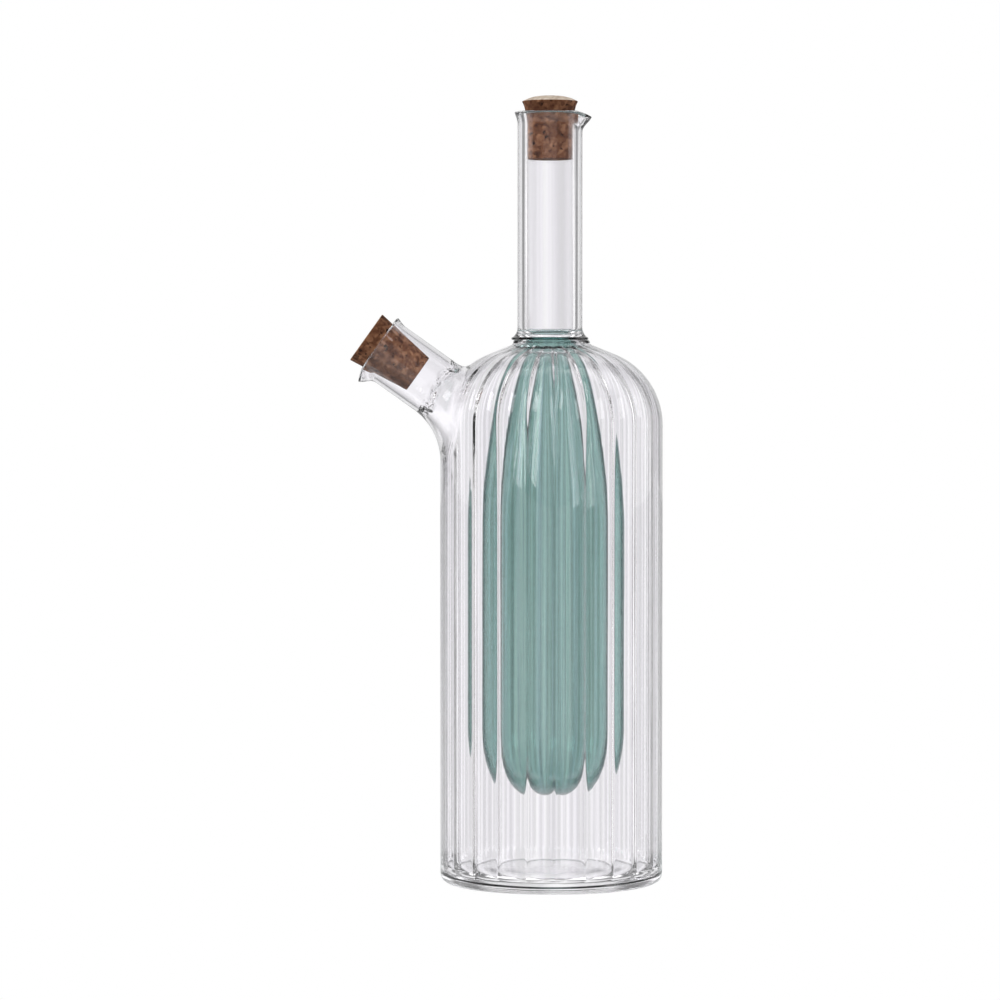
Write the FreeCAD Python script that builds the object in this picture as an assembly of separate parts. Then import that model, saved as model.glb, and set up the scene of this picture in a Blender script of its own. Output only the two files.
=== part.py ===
"""Dual oil and vinegar bottle of lampworked borosilicate glass.

A clear body with ribs down the inside of its wall holds the vinegar and pours through a side spout.
A teal vessel hangs inside it from a ring that is fused between the body and the clear neck above,
and holds the oil. Each mouth has a pulled pouring lip and a tapered cork.

Frame: millimetres, +Z up. The origin is on the bottle's axis, on the plane that it stands on.
The side spout points to -X and the neck's pouring lip to +X.
"""

import FreeCAD
import Part
import math
import os

from FreeCAD import Vector

# ---------------------------------------------------------------- driving dimensions, in millimetres
# Body
BODY_RADIUS = 35.0          # outside, at the straight wall
BODY_WALL = 1.3             # thinnest glass, at the middle of a channel
SHOULDER_BEND_Z = 144.0     # height where the straight wall starts to bend inwards
SHOULDER_BEND_RADIUS = 24.0  # outside radius of the shoulder's bend
SHOULDER_CONE_ANGLE = 22.0  # slope of the flat top of the shoulder, in degrees above level
BASE_THICKNESS = 3.0        # glass at the foot of the wall
BASE_CORNER_RADIUS = 3.2    # outside, between the wall and the base
BASE_INNER_RADIUS = 5.0     # inside, between the wall and the floor
FLOOR_RISE = 1.4            # how far the floor inside rises towards its middle

# Ribs inside the body's wall
RIB_COUNT = 22
RIB_HEIGHT = 0.7            # from the middle of a channel to a rib's crest
RIB_CREST_WIDTH = 0.9       # rounded crest, at the full radius
RIB_CLEARANCE = 0.3         # from the ribs' crests to the smooth form of the spout's throat

# Ring where body, inner vessel and neck are fused
RING_MARGIN = 0.4           # how far the ring stands out beyond the neck's foot
RING_THICKNESS = 0.9
RING_EDGE_RADIUS = 0.3
COLLAR_HEIGHT = 1.3         # upright rim of the body that carries the ring
MOUTH_WALL = 3.5            # depth of the body's glass under the ring
MOUTH_STEP = 0.6            # how far the cavity's ceiling stands outside the mouth, all round
VESSEL_PASS = 0.8           # free gap round the inner vessel's neck in the body's mouth

# Inner vessel
VESSEL_RADIUS = 21.7        # outside
VESSEL_WALL = 1.4
VESSEL_NECK_RADIUS = 8.4    # outside
VESSEL_FLOOR_Z = 27.2       # lowest point, outside
VESSEL_BEND_DROP = 32.0     # how far below the body's own bend the vessel starts to narrow
VESSEL_BEND_FULLNESS = 0.52  # share of the shoulder's height along which it leaves the wall
VESSEL_NECK_FULLNESS = 0.20  # share of the shoulder's height along which it joins the neck

# Neck
NECK_RADIUS = 10.2
NECK_WALL = 2.75
NECK_LENGTH = 70.76         # from the ring to the rim
NECK_FOOT_FLARE = 1.5       # how far the foot spreads on the ring
NECK_FOOT_HEIGHT = 3.2

# Side spout
SPOUT_RADIUS = 9.4
SPOUT_WALL = 1.25
SPOUT_ANGLE = 35.5          # degrees above level
SPOUT_TOP_ROOM = 3.9        # height left on the bend above the tube, for the joint to run out in
SPOUT_LENGTH = 26.7         # along its axis, from that point to the rim
SPOUT_BLEND_BELOW = 20.0    # outside radius of the joint with the body, on its underside
SPOUT_BLEND_ABOVE = 3.0     # the same on top; the radius runs from one to the other round the joint

# Pulled pouring lips, the same on both mouths
LIP_FLARE = 1.0             # how far the rim spreads all round
LIP_HEIGHT = 6.5            # length of tube that the lip is pulled from
LIP_BORE_FLARE = 0.5        # how far the bore opens, all round, below the rim
LIP_EDGE_RADIUS = 0.55      # fire-polished edge
BEAK_REACH = 2.1            # how far the pouring beak stands out beyond the rim
BEAK_DROOP = 1.4            # how far the beak hangs below the rim
BEAK_HALF_ANGLE = 38.0      # degrees either side of the beak within which the rim is pulled

# Corks
CORK_LENGTH = 20.0
CORK_EDGE_RADIUS = 0.35
CORK_SEAT_GAP = 0.10        # between a cork and the glass that grips it
NECK_CORK_TIP_PLAY = 0.31   # free gap round its tip in the bore
NECK_CORK_SWELL = 1.28      # how far its top stands out beyond the bore
NECK_CORK_PROUD = 4.5       # how far it stands out of the neck
SPOUT_CORK_TIP_PLAY = 1.95
SPOUT_CORK_SWELL = 0.58
SPOUT_CORK_PROUD = 4.4

# ---------------------------------------------------------------- sizes that follow from those
AXIS = Vector(0, 0, 1)
CENTRE = Vector(0, 0, 0)
CONE = math.radians(SHOULDER_CONE_ANGLE)
BEND_CENTRE_R = BODY_RADIUS - SHOULDER_BEND_RADIUS
CONE_START_R = BEND_CENTRE_R + SHOULDER_BEND_RADIUS * math.sin(CONE)
CONE_START_Z = SHOULDER_BEND_Z + SHOULDER_BEND_RADIUS * math.cos(CONE)
RING_RADIUS = NECK_RADIUS + NECK_FOOT_FLARE + RING_MARGIN
COLLAR_Z = CONE_START_Z + (CONE_START_R - RING_RADIUS) * math.tan(CONE)
RING_Z = COLLAR_Z + COLLAR_HEIGHT
NECK_FOOT_Z = RING_Z + RING_THICKNESS
NECK_RIM_Z = NECK_FOOT_Z + NECK_LENGTH
VESSEL_BEND_Z = SHOULDER_BEND_Z - VESSEL_BEND_DROP
SPOUT_ROOT_Z = CONE_START_Z - SPOUT_TOP_ROOM - SPOUT_RADIUS * math.cos(math.radians(SPOUT_ANGLE))
CAVITY_RADIUS = BODY_RADIUS - BODY_WALL
MOUTH_RADIUS = VESSEL_NECK_RADIUS + VESSEL_PASS
NECK_BORE_RADIUS = NECK_RADIUS - NECK_WALL
SPOUT_BORE_RADIUS = SPOUT_RADIUS - SPOUT_WALL
VESSEL_BORE_RADIUS = VESSEL_NECK_RADIUS - VESSEL_WALL


def on_plane(r, z):
    """A point of a half profile, in the XZ plane."""
    return Vector(r, 0, z)


def revolved(edges):
    """Solid of revolution about the Z axis from the edges of a closed half profile."""
    return Part.Face(Part.Wire(edges)).revolve(CENTRE, AXIS, 360)


def lines(*points):
    """Straight edges through points, one after another."""
    return [Part.makeLine(a, b) for a, b in zip(points, points[1:])]


def smooth_curve(points, start_tangent=None, end_tangent=None):
    """An edge through points, with the direction given at either end."""
    curve = Part.BSplineCurve()
    if start_tangent is None:
        curve.interpolate(points)
    else:
        curve.interpolate(Points=points, InitialTangent=start_tangent, FinalTangent=end_tangent)
    return curve.toShape()


def arc(a, middle, b):
    return Part.Arc(a, middle, b).toShape()


def bend_point(radius, degrees):
    """A point on the shoulder's bend, degrees above level, on the circle of that radius."""
    angle = math.radians(degrees)
    return on_plane(BEND_CENTRE_R + radius * math.cos(angle), SHOULDER_BEND_Z + radius * math.sin(angle))


# ---------------------------------------------------------------- body
def body_outside():
    """The body's outer form: a flat base, a straight wall, a bent shoulder and a sloping top."""
    corner = BASE_CORNER_RADIUS
    quarter = corner * (1 - math.sqrt(0.5))
    bend_end = 90 - SHOULDER_CONE_ANGLE
    foot_outside = on_plane(BODY_RADIUS - corner, 0)
    wall_foot = on_plane(BODY_RADIUS, corner)
    collar_foot = on_plane(RING_RADIUS, COLLAR_Z)
    ring_seat = on_plane(RING_RADIUS, RING_Z)
    edges = [
        *lines(on_plane(0, 0), foot_outside),
        arc(foot_outside, on_plane(BODY_RADIUS - quarter, quarter), wall_foot),
        *lines(wall_foot, bend_point(SHOULDER_BEND_RADIUS, 0)),
        arc(
            bend_point(SHOULDER_BEND_RADIUS, 0),
            bend_point(SHOULDER_BEND_RADIUS, bend_end / 2),
            bend_point(SHOULDER_BEND_RADIUS, bend_end),
        ),
        *lines(
            bend_point(SHOULDER_BEND_RADIUS, bend_end),
            collar_foot,
            ring_seat,
            on_plane(0, RING_Z),
            on_plane(0, 0),
        ),
    ]
    return revolved(edges)


def ribbed_outline(radius, rib_height, z):
    """A closed level outline of channels that bow outwards to radius, with a rounded rib between each two."""
    pitch = 2 * math.pi / RIB_COUNT
    crest = RIB_CREST_WIDTH / 2 / CAVITY_RADIUS
    flank_radius = radius - rib_height * 0.85

    def at(r, angle):
        return Vector(r * math.cos(angle), r * math.sin(angle), z)

    edges = []
    for i in range(RIB_COUNT):
        rib = (i + 0.5) * pitch
        rib_far_side = at(flank_radius, rib + crest)
        next_rib = at(flank_radius, rib + pitch - crest)
        edges.append(arc(at(flank_radius, rib - crest), at(radius - rib_height, rib), rib_far_side))
        edges.append(arc(rib_far_side, at(radius, rib + pitch / 2), next_rib))
    return Part.Wire(edges)


def shoulder_sections():
    """Level outlines of the cavity up the shoulder, in which the ribs die out towards the mouth."""
    inner_bend = SHOULDER_BEND_RADIUS - BODY_WALL
    fading = [(0, 1.0), (14, 1.0), (28, 1.0), (41, 1.0), (53, 0.9), (64, 0.7), (73, 0.4), (79, 0.2)]
    sections = []
    for degrees, share in fading:
        point = bend_point(inner_bend, degrees)
        sections.append(ribbed_outline(point.x, RIB_HEIGHT * share, point.z))
    widest = MOUTH_RADIUS + MOUTH_STEP
    sections.append(ribbed_outline(widest, RIB_HEIGHT * 0.1, RING_Z - MOUTH_WALL))
    return sections


def body_cavity():
    """The space inside the body: ribbed up the wall and the shoulder, with a rounded floor."""
    straight = Part.Face(ribbed_outline(CAVITY_RADIUS, RIB_HEIGHT, 0)).extrude(AXIS * SHOULDER_BEND_Z)
    shoulder = Part.makeLoft(shoulder_sections(), True, False)
    corner = BASE_INNER_RADIUS
    quarter = corner * (1 - math.sqrt(0.5))
    floor_z = BASE_THICKNESS
    flat_end = on_plane(CAVITY_RADIUS - corner, floor_z)
    floor_middle = on_plane(0, floor_z + FLOOR_RISE)
    wall_start = on_plane(CAVITY_RADIUS, floor_z + corner)
    bowed_r = flat_end.x / 2
    envelope = revolved([
        arc(floor_middle, on_plane(bowed_r, floor_z + FLOOR_RISE * 0.75), flat_end),
        arc(flat_end, on_plane(CAVITY_RADIUS - quarter, floor_z + quarter), wall_start),
        *lines(
            wall_start,
            on_plane(CAVITY_RADIUS, SHOULDER_BEND_Z),
            on_plane(0, SHOULDER_BEND_Z),
            floor_middle,
        ),
    ])
    mouth = Part.makeCylinder(MOUTH_RADIUS, MOUTH_WALL * 3, on_plane(0, RING_Z - MOUTH_WALL * 2), AXIS)
    return straight.common(envelope).fuse(shoulder).removeSplitter().fuse(mouth)


# ---------------------------------------------------------------- tubes with a pouring lip
def lip_outline(radius, beak, z):
    """A closed level outline, round but for a beak that is pulled out towards +X."""
    turn = math.radians(BEAK_HALF_ANGLE)
    start = Vector(radius * math.cos(turn), radius * math.sin(turn), z)
    end = Vector(start.x, -start.y, z)
    round_side = arc(start, Vector(-radius, 0, z), end)
    curve = Part.BezierCurve()
    lead = radius * turn * 0.45
    side_lead = Vector(math.sin(turn), -math.cos(turn), 0) * lead
    tip_lead = Vector(0, lead * 0.9, 0)
    tip = Vector(radius + beak, 0, z)
    curve.setPoles([start, start + side_lead, tip + tip_lead, tip])
    curve_back = Part.BezierCurve()
    curve_back.setPoles([tip, tip - tip_lead, end + Vector(side_lead.x, -side_lead.y, 0), end])
    return Part.Wire([round_side, curve_back.toShape(), curve.toShape()])


def lip_form(radius, flare, beak, length):
    """A round bar that spreads into the lip's outline over its last LIP_HEIGHT. It stands on z = 0."""
    start = length - LIP_HEIGHT
    spread = [(0.0, 0.0), (0.3, 0.04), (0.55, 0.3), (0.8, 0.8), (1.0, 1.0), (1.25, 1.1)]
    sections = [
        lip_outline(radius + flare * share, beak * share, start + LIP_HEIGHT * height)
        for height, share in spread
    ]
    bar = Part.makeCylinder(radius, start, CENTRE, AXIS)
    return bar.fuse(Part.makeLoft(sections, True, False))


def rim_trim(radius, length):
    """What is cut off above the rim. Its underside is level, and drops over the beak by BEAK_DROOP."""
    reach = radius + LIP_FLARE + BEAK_REACH
    start = radius * 0.55
    far = 3 * reach
    over_beak = smooth_curve(
        [on_plane(start, length), on_plane(reach, length - BEAK_DROOP)],
        Vector(1, 0, 0),
        Vector(reach - start, 0, -2 * BEAK_DROOP),
    )
    top = length + 3 * LIP_HEIGHT
    side = Part.Wire([
        *lines(on_plane(-far, length), on_plane(start, length)),
        over_beak,
        *lines(
            on_plane(reach, length - BEAK_DROOP),
            on_plane(far, length - BEAK_DROOP),
            on_plane(far, top),
            on_plane(-far, top),
            on_plane(-far, length),
        ),
    ])
    slab = Part.Face(side)
    slab.translate(Vector(0, -far, 0))
    return slab.extrude(Vector(0, 2 * far, 0))


def runs_round(edge):
    """True if an edge runs round the tube rather than along it or across its wall."""
    low, high = edge.ParameterRange
    middle = (low + high) / 2
    at, along = edge.valueAt(middle), edge.tangentAt(middle)
    outwards = Vector(at.x, at.y, 0).normalize()
    return abs(along.dot(outwards)) < 0.6 and abs(along.z) < 0.6


def tube_with_lip(radius, bore_radius, length):
    """A tube along +Z from z = 0, with a pulled and fire-polished lip whose beak points to +X."""
    outside = lip_form(radius, LIP_FLARE, BEAK_REACH, length).cut(rim_trim(radius, length))
    tube = outside.cut(lip_form(bore_radius, LIP_BORE_FLARE, BEAK_REACH, length))
    low = length - BEAK_DROOP * 1.5
    rim = [e for e in tube.Edges if e.BoundBox.ZMin > low and e.Length > LIP_EDGE_RADIUS and runs_round(e)]
    return tube.makeFillet(LIP_EDGE_RADIUS, rim)


# ---------------------------------------------------------------- neck
def neck():
    """The clear neck: a heavy tube with a spread foot on the ring and a pouring lip."""
    spread = on_plane(NECK_RADIUS + NECK_FOOT_FLARE, 0)
    foot_top = on_plane(NECK_RADIUS, NECK_FOOT_HEIGHT)
    middle_r = (NECK_RADIUS + NECK_BORE_RADIUS) / 2
    foot = revolved([
        *lines(on_plane(middle_r, 0), spread),
        smooth_curve([spread, foot_top], Vector(-1, 0, 0.6), Vector(0, 0, 1)),
        *lines(foot_top, on_plane(middle_r, NECK_FOOT_HEIGHT), on_plane(middle_r, 0)),
    ])
    tube = tube_with_lip(NECK_RADIUS, NECK_BORE_RADIUS, NECK_RIM_Z - NECK_FOOT_Z).fuse(foot).removeSplitter()
    tube.translate(AXIS * NECK_FOOT_Z)
    return tube


# ---------------------------------------------------------------- side spout
def spout_placement():
    """Turns +Z along the spout, with the beak underneath, and puts z = 0 at the body's axis."""
    angle = math.radians(SPOUT_ANGLE)
    along = Vector(-math.cos(angle), 0, math.sin(angle))
    under = Vector(-math.sin(angle), 0, -math.cos(angle))
    across = along.cross(under)
    turn = FreeCAD.Matrix(
        under.x, across.x, along.x, 0,
        under.y, across.y, along.y, 0,
        under.z, across.z, along.z, 0,
        0, 0, 0, 1,
    )
    height = SPOUT_ROOT_Z - spout_root_radius() * math.tan(angle)
    return FreeCAD.Placement(Vector(0, 0, height), FreeCAD.Placement(turn).Rotation)


def spout_root_radius():
    """Radius of the body's outer surface at the height of the spout's root."""
    rise = SPOUT_ROOT_Z - SHOULDER_BEND_Z
    return BEND_CENTRE_R + math.sqrt(SHOULDER_BEND_RADIUS ** 2 - rise ** 2)


def spout_reach():
    """Distance along the spout's axis from the body's axis to the rim."""
    return spout_root_radius() / math.cos(math.radians(SPOUT_ANGLE)) + SPOUT_LENGTH


def joint_edges(form, radius, placement):
    """The edges along which a bar of that radius, laid along the spout, meets the body."""
    found = []
    for edge in form.Edges:
        low, high = edge.ParameterRange
        points = [edge.valueAt(low + (high - low) * share) for share in (0.1, 0.5, 0.9)]
        local = [placement.inverse().multVec(p) for p in points]
        on_bar = all(abs(math.hypot(p.x, p.y) - radius) < 0.02 for p in local)
        near_root = all(abs(p.z - spout_reach() + SPOUT_LENGTH) < SPOUT_RADIUS * 2 for p in local)
        if on_bar and near_root and not isinstance(edge.Curve, (Part.Line, Part.Circle)):
            found.append(edge)
    return found


def blended(form, bar, radius, below, above):
    """Fuses a bar along the spout with a form, rounding the joint by a radius that changes round it.

    One half is made and mirrored, so that the two ends of the joint lie underneath and on top.
    """
    placement = spout_placement()
    room = 4 * BODY_RADIUS
    half_space = Part.makeBox(2 * room, room, 3 * room, Vector(-room, 0, -room / 4))
    half = form.fuse(bar).common(half_space)
    joint = joint_edges(half, radius, placement)
    first = max(joint, key=lambda e: e.Length)
    rises = first.valueAt(first.ParameterRange[0]).z < first.valueAt(first.ParameterRange[1]).z
    start, end = (below, above) if rises else (above, below)
    half = half.makeFillet(start, end, joint)
    return half.fuse(half.mirror(CENTRE, Vector(0, 1, 0))).removeSplitter()


def throat(end):
    """The opening from the body into the spout: a smooth form that stays clear of the ribs' crests."""
    inset = BODY_WALL + RIB_HEIGHT + RIB_CLEARANCE
    bend = SHOULDER_BEND_RADIUS - inset
    top = bend_point(bend, 90 - SHOULDER_CONE_ANGLE)
    low = SHOULDER_BEND_Z - SPOUT_BLEND_BELOW * 1.5
    room = revolved([
        *lines(on_plane(0, low), on_plane(BODY_RADIUS - inset, low), bend_point(bend, 0)),
        arc(bend_point(bend, 0), bend_point(bend, 45 - SHOULDER_CONE_ANGLE / 2), top),
        *lines(top, on_plane(0, top.z), on_plane(0, low)),
    ])
    start = spout_reach() - SPOUT_LENGTH - SPOUT_RADIUS
    passage = Part.makeCylinder(SPOUT_BORE_RADIUS, end - start, AXIS * start, AXIS)
    passage.Placement = spout_placement().multiply(passage.Placement)
    return blended(room, passage, SPOUT_BORE_RADIUS, SPOUT_BLEND_BELOW - BODY_WALL, SPOUT_BLEND_ABOVE)


def body():
    """The clear body with its side spout, in one piece."""
    length = spout_reach()
    plain = length - LIP_HEIGHT * 1.5
    bar = Part.makeCylinder(SPOUT_RADIUS, plain, CENTRE, AXIS)
    below_rim = Part.makeCylinder(BODY_RADIUS, plain, CENTRE, AXIS)
    rim = tube_with_lip(SPOUT_RADIUS, SPOUT_BORE_RADIUS, length).cut(below_rim)
    for piece in (bar, rim):
        piece.Placement = spout_placement().multiply(piece.Placement)
    form = blended(body_outside(), bar, SPOUT_RADIUS, SPOUT_BLEND_BELOW, SPOUT_BLEND_ABOVE)
    hollow = form.cut(body_cavity()).cut(throat(length))
    return hollow.fuse(rim).removeSplitter()


# ---------------------------------------------------------------- inner vessel
def vessel_shoulder(radius, neck_radius, top_z):
    """The vessel's side above its bend: out of the straight wall and into the neck in one soft curve."""
    height = top_z - VESSEL_BEND_Z
    curve = Part.BezierCurve()
    curve.setPoles([
        on_plane(radius, VESSEL_BEND_Z),
        on_plane(radius, VESSEL_BEND_Z + height * VESSEL_BEND_FULLNESS),
        on_plane(neck_radius, top_z - height * VESSEL_NECK_FULLNESS),
        on_plane(neck_radius, top_z),
    ])
    return curve.toShape()


def vessel_form(radius, neck_radius, floor_z, neck_end_z, top_z):
    """A round-bottomed form of revolution, which serves as the vessel's outside and as its inside."""
    ball_z = floor_z + radius
    half = radius * math.sqrt(0.5)
    return revolved([
        arc(on_plane(0, floor_z), on_plane(half, ball_z - half), on_plane(radius, ball_z)),
        *lines(on_plane(radius, ball_z), on_plane(radius, VESSEL_BEND_Z)),
        vessel_shoulder(radius, neck_radius, neck_end_z),
        *lines(on_plane(neck_radius, neck_end_z), on_plane(neck_radius, top_z), on_plane(0, top_z),
               on_plane(0, floor_z)),
    ])


def vessel():
    """The teal inner vessel with the ring that carries it."""
    neck_end = RING_Z - MOUTH_WALL
    outside = vessel_form(VESSEL_RADIUS, VESSEL_NECK_RADIUS, VESSEL_FLOOR_Z, neck_end, RING_Z)
    ring = Part.makeCylinder(RING_RADIUS, RING_THICKNESS, on_plane(0, RING_Z), AXIS)
    ring = ring.makeFillet(RING_EDGE_RADIUS, [e for e in ring.Edges if isinstance(e.Curve, Part.Circle)])
    inside = vessel_form(
        VESSEL_RADIUS - VESSEL_WALL,
        VESSEL_BORE_RADIUS,
        VESSEL_FLOOR_Z + VESSEL_WALL * 1.2,
        neck_end,
        NECK_FOOT_Z,
    )
    return outside.fuse(ring).cut(inside)


# ---------------------------------------------------------------- corks
def cork(tip_radius, proud, grip_radius, rim_radius, top_radius):
    """A tapered cork along +Z with its tip on z = 0. It is squeezed where the glass grips it."""
    rim = CORK_LENGTH - proud
    side = [on_plane(tip_radius, 0)]
    if grip_radius is not None:
        side.append(on_plane(grip_radius, rim - LIP_HEIGHT * 0.4))
    side.append(on_plane(rim_radius, rim))
    side.append(on_plane(top_radius, CORK_LENGTH))
    plug = revolved(lines(on_plane(0, 0), *side, on_plane(0, CORK_LENGTH), on_plane(0, 0)))
    ends = [e for e in plug.Edges if isinstance(e.Curve, Part.Circle) and
            (e.BoundBox.ZMax < CORK_EDGE_RADIUS or e.BoundBox.ZMin > CORK_LENGTH - CORK_EDGE_RADIUS)]
    return plug.makeFillet(CORK_EDGE_RADIUS, ends)


def neck_cork():
    bore = NECK_BORE_RADIUS
    grip = bore + LIP_BORE_FLARE * 0.3 - CORK_SEAT_GAP
    plug = cork(bore - NECK_CORK_TIP_PLAY, NECK_CORK_PROUD, grip, bore + LIP_BORE_FLARE, bore + NECK_CORK_SWELL)
    plug.translate(AXIS * (NECK_RIM_Z + NECK_CORK_PROUD - CORK_LENGTH))
    return plug


def spout_cork():
    bore = SPOUT_BORE_RADIUS
    plug = cork(bore - SPOUT_CORK_TIP_PLAY, SPOUT_CORK_PROUD, None, bore, bore + SPOUT_CORK_SWELL)
    plug.translate(AXIS * (spout_reach() + SPOUT_CORK_PROUD - CORK_LENGTH))
    plug.Placement = spout_placement().multiply(plug.Placement)
    return plug


PIECES = {
    "body": body,
    "inner_vessel": vessel,
    "neck": neck,
    "neck_cork": neck_cork,
    "spout_cork": spout_cork,
}


def main():
    os.makedirs("parts", exist_ok=True)
    for name, make in PIECES.items():
        shape = make()
        solids = shape.Solids
        print(name, "solids", len(solids), "valid", shape.isValid(), "volume_cm3", round(shape.Volume / 1000, 2))
        solids[0].exportStep(os.path.join("parts", name + ".step"))


main()
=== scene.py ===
# %% [markdown]
# # A dual oil and vinegar bottle in blown glass
# The finished bottle has a clear outer body whose wall is ribbed on the inside, a teal vessel that hangs
# in the middle of it, a clear neck above and a side spout. Two corks close the mouths. Glass only looks
# right if every wall has an outer and an inner surface, so each glass piece here is one closed skin that
# goes up the outside, over the rim and down the inside.

# %% Load the construction model
import math

import bpy
import numpy as np
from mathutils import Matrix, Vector


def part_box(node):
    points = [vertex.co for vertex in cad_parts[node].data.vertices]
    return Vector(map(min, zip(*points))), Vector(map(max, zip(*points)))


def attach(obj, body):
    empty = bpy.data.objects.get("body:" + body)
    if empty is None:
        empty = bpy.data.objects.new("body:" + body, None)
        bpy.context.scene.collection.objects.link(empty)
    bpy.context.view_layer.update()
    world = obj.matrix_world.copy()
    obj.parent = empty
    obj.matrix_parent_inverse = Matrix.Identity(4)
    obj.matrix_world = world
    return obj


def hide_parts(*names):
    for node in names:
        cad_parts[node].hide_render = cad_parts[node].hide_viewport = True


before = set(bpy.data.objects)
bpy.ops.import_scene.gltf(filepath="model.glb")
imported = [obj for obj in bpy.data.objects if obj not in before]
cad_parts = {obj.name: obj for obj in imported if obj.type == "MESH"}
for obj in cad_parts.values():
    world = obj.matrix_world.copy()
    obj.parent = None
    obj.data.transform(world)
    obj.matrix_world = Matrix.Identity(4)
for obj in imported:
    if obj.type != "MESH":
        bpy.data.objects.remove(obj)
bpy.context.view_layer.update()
print("nodes:", sorted(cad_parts))

# %% [markdown]
# ## Sizes
# All modelling below is in millimetres and is scaled to metres when a mesh is made. The main sizes are
# read off the construction model, so the glass follows it. The rest are the ones that a glassblower would
# write down: wall thicknesses, the bend of the shoulder, the ribs.

# %% Sizes in millimetres
MM = 0.001


def node_size(name):
    """Lowest and highest corner of a piece of the construction model, in millimetres."""
    low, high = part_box(name)
    return np.array(low) / MM, np.array(high) / MM


_, body_high = node_size("body")
vessel_low, vessel_high = node_size("inner_vessel")
_, neck_high = node_size("neck")
_, neck_cork_high = node_size("neck_cork")

BODY_R = body_high[0]
WALL = 1.3
BEND_R = 24.0
FOOT_R = 2.4
BEND_Z = 144.0
CONE = math.radians(22.0)
BEND_CENTRE = BODY_R - BEND_R
BASE = 3.0
FLOOR_MIDDLE = 4.4
FLOOR_CORNER = 5.0
VESSEL_R = vessel_high[1]
VESSEL_WALL = 1.4
VESSEL_FLOOR = vessel_low[2]
VESSEL_BEND_Z = 112.0
VESSEL_NECK_R, VESSEL_BORE = 8.4, 7.0
RING_TOP = vessel_high[2]
RING_Z = RING_TOP - 0.9
RING_SEAM = 0.02
COLLAR = 1.3
MOUTH_DEPTH = 3.5
RING_R = 12.1
RING_EDGE = 0.3
MOUTH_R = 9.2
RIBS = 22
RIB_HEIGHT = 0.9
RIB_CREST = 0.35
RIB_BEAD, RIB_BEAD_HALF = 0.14, 0.50
NECK_R, NECK_BORE = 10.2, 7.45
NECK_FOOT_FLARE, NECK_FOOT_HEIGHT = 1.5, 3.2
HANG = (-0.5, 0.0, 0.0)
NECK_TOP = neck_high[2]
SPOUT_R, SPOUT_BORE = 9.85, 8.6
SPOUT_ANGLE = math.radians(35.5)
SPOUT_ROOT = np.array([-32.98, 0.0, 153.6])
SPOUT_LENGTH = 26.7
SWEEP_BELOW, SWEEP_ABOVE = 20.0, 3.0
LIP_HEIGHT, LIP_FLARE, BORE_FLARE = 6.5, 1.0, 0.5
BEAK_REACH, BEAK_DROOP, BEAK_HALF = 2.1, 1.4, math.radians(46)
CORK_LENGTH, CORK_EDGE, CORK_TOP_R = 20.0, 0.35, 8.73
NECK_CORK_DOME = 1.6
SPOUT_CORK_PROUD = 4.4
print("body radius", round(BODY_R, 2), "ring", round(RING_Z, 2), "to", round(RING_TOP, 2))
print("neck top", round(NECK_TOP, 2))

# %% [markdown]
# ## Meshes from rings
# Every piece is a stack of rings, each ring the same number of points, stitched into quads. A stack may
# close on a single point at either end, or run back into its first ring. That keeps the skins closed and
# smooth.

# %% Ring and mesh helpers
def stitch(rings, close=False, first_point=None, last_point=None):
    """Points and faces of a stack of rings. A point caps an end; close joins the last ring to the first."""
    count = len(rings[0])
    points = list(np.concatenate(rings))
    faces = []
    pairs = list(zip(range(len(rings) - 1), range(1, len(rings))))
    if close:
        pairs.append((len(rings) - 1, 0))
    for a, b in pairs:
        for i in range(count):
            j = (i + 1) % count
            faces.append((a * count + i, a * count + j, b * count + j, b * count + i))
    for tip, ring in ((first_point, 0), (last_point, len(rings) - 1)):
        if tip is not None:
            points.append(np.array(tip, float))
            for i in range(count):
                faces.append((len(points) - 1, ring * count + i, ring * count + (i + 1) % count))
    return np.array(points), faces


def make_piece(name, points, faces, sharp_degrees=50):
    """A smooth-shaded object from points in millimetres, with its faces turned outwards."""
    import bmesh

    mesh = bpy.data.meshes.new(name)
    mesh.from_pydata((np.asarray(points) * MM).tolist(), [], [list(f) for f in faces])
    shell = bmesh.new()
    shell.from_mesh(mesh)
    loose = [v for v in shell.verts if not v.link_faces]
    bmesh.ops.delete(shell, geom=loose, context="VERTS")
    bmesh.ops.recalc_face_normals(shell, faces=shell.faces)
    if shell.calc_volume(signed=True) < 0:
        bmesh.ops.reverse_faces(shell, faces=shell.faces)
    open_edges = sum(1 for e in shell.edges if len(e.link_faces) != 2)
    volume = shell.calc_volume(signed=True) * 1e6
    shell.to_mesh(mesh)
    shell.free()
    mesh.polygons.foreach_set("use_smooth", [True] * len(mesh.polygons))
    mesh.set_sharp_from_angle(angle=math.radians(sharp_degrees))
    piece = bpy.data.objects.new(name, mesh)
    bpy.context.scene.collection.objects.link(piece)
    print(name, "faces", len(mesh.polygons), "open edges", open_edges, "volume cm3", round(volume, 2))
    return piece


def curve_points(*parts):
    """Joins stretches of a half profile, dropping the repeated point where one meets the next."""
    joined = [np.asarray(parts[0], float)]
    for part in parts[1:]:
        part = np.asarray(part, float)
        skip = 1 if np.allclose(joined[-1][-1], part[0], atol=1e-6) else 0
        joined.append(part[skip:])
    return np.concatenate(joined)


def bow(centre, radius, start, end, steps):
    """Points of a circular arc, angles in degrees above level."""
    angles = np.radians(np.linspace(start, end, steps))
    return np.stack([centre[0] + radius * np.cos(angles), centre[1] + radius * np.sin(angles)], 1)


def line(a, b, steps=2):
    t = np.linspace(0, 1, steps)[:, None]
    return np.array(a) * (1 - t) + np.array(b) * t


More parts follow.
